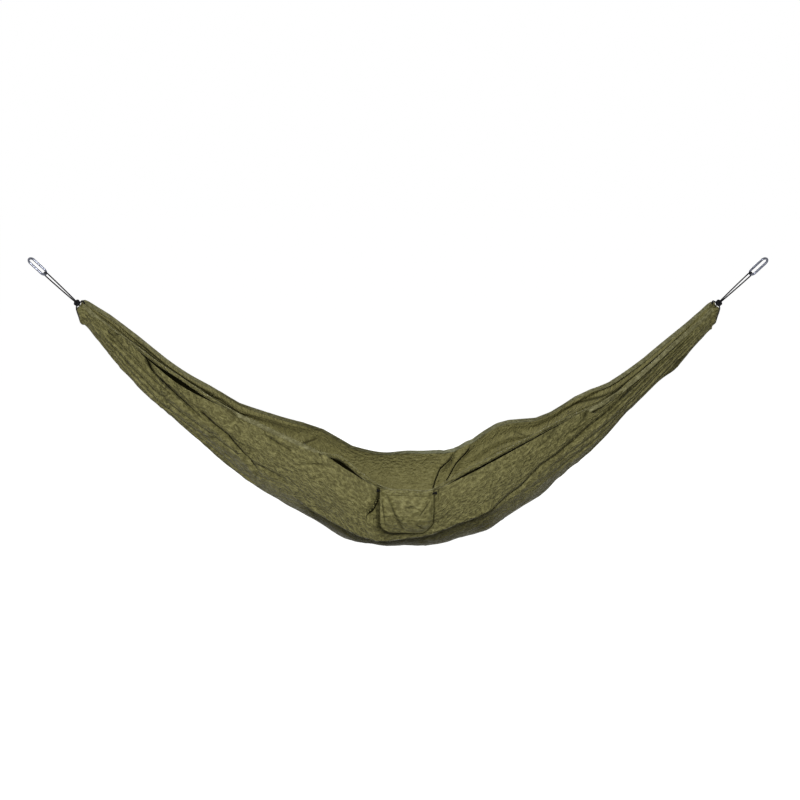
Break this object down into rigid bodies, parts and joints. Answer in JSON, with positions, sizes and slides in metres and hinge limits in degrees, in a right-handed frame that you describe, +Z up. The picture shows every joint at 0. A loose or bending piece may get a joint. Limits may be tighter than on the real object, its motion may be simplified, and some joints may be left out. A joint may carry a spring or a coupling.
{
  "type": "camping hammock",
  "caption": "Gathered-end camping hammock of thin olive nylon, hung by cord loops and steel snap hooks, with a drawcord stuff sack sewn to its hem.",
  "frame": {"origin": "seat of the left snap hook, the inner surface of its upper end where the anchor strap bears", "axes": "+X from the left hook to the right one, +Y from the near hem to the far hem, +Z up"},
  "size_m": [2.4156, 0.7035, 0.9404],
  "materials": {
    "bed_nylon": "thin olive nylon, crinkled, soft sheen",
    "hem_nylon": "folded olive nylon hem, lockstitched",
    "sack_nylon": "olive nylon, double seams",
    "black_cord": "braided black polyester",
    "polished_steel": "polished and plated",
    "pin_steel": "turned",
    "spring_steel": "drawn wire"
  },
  "bodies": {
    "bed": {"near_panel": "bed_nylon", "middle_panel": "bed_nylon", "far_panel": "bed_nylon", "near_hem": "hem_nylon", "far_hem": "hem_nylon", "left_sleeve": "bed_nylon", "right_sleeve": "bed_nylon", "left_gather_cord": "black_cord", "right_gather_cord": "black_cord"},
    "left_rope": {"left_loop": "black_cord", "left_knot": "black_cord"},
    "left_carabiner": {"left_hook": "polished_steel", "left_hinge_pin": "pin_steel"},
    "left_gate_arm": {"left_gate": "polished_steel", "left_latch_pin": "pin_steel", "left_gate_spring": "spring_steel"},
    "left_gate_follower": {"left_plunger": "pin_steel"},
    "right_rope": {"right_loop": "black_cord", "right_knot": "black_cord"},
    "right_carabiner": {"right_hook": "polished_steel", "right_hinge_pin": "pin_steel"},
    "right_gate_arm": {"right_gate": "polished_steel", "right_latch_pin": "pin_steel", "right_gate_spring": "spring_steel"},
    "right_gate_follower": {"right_plunger": "pin_steel"},
    "stuff_sack": {"sack_back": "sack_nylon", "sack_front": "sack_nylon", "sack_channel": "sack_nylon", "drawcord": "black_cord", "drawcord_knots": "black_cord"}
  },
  "joints": [
    {"name": "left_rope_swing", "type": "hinge", "parent": "bed", "child": "left_rope", "pos_m": [0.14943, 0, -0.1418], "axis": [0, 1, 0], "range_deg": [-30, 30]},
    {"name": "left_hook_swing", "type": "hinge", "parent": "left_rope", "child": "left_carabiner", "pos_m": [0.04933, 0, -0.04681], "axis": [0.3232, 0.8829, 0.3405], "range_deg": [-80, 80]},
    {"name": "left_gate_swing", "type": "hinge", "parent": "left_carabiner", "child": "left_gate_arm", "pos_m": [0.03829, 0.01148, -0.02793], "axis": [0.6078, -0.4695, 0.6405], "range_deg": [0, 28], "stiffness_Nm_per_rad": 0.15, "springref_deg": -17.19},
    {"name": "left_plunger_slide", "type": "slide", "parent": "left_gate_arm", "child": "left_gate_follower", "axis": [-0.7254, 0, 0.6884], "range_m": [0, 0.00078]},
    {"name": "right_rope_swing", "type": "hinge", "parent": "bed", "child": "right_rope", "pos_m": [2.25057, 0, -0.1418], "axis": [0, -1, 0], "range_deg": [-30, 30]},
    {"name": "right_hook_swing", "type": "hinge", "parent": "right_rope", "child": "right_carabiner", "pos_m": [2.35067, 0, -0.04681], "axis": [0.3232, -0.8829, -0.3405], "range_deg": [-80, 80]},
    {"name": "right_gate_swing", "type": "hinge", "parent": "right_carabiner", "child": "right_gate_arm", "pos_m": [2.36171, 0.01148, -0.02793], "axis": [0.6078, 0.4695, -0.6405], "range_deg": [0, 28], "stiffness_Nm_per_rad": 0.15, "springref_deg": -17.19},
    {"name": "right_plunger_slide", "type": "slide", "parent": "right_gate_arm", "child": "right_gate_follower", "axis": [0.7254, 0, 0.6884], "range_m": [0, 0.00078]},
    {"name": "sack_swing", "type": "hinge", "parent": "bed", "child": "stuff_sack", "pos_m": [1.228, -0.3052, -0.6978], "axis": [-1, 0, 0], "range_deg": [0, 70]}
  ],
  "couplings": [
    {"joint": "left_plunger_slide", "follows": "left_gate_swing", "m_per_rad": 0.00154},
    {"joint": "right_plunger_slide", "follows": "right_gate_swing", "m_per_rad": 0.00154}
  ]
}
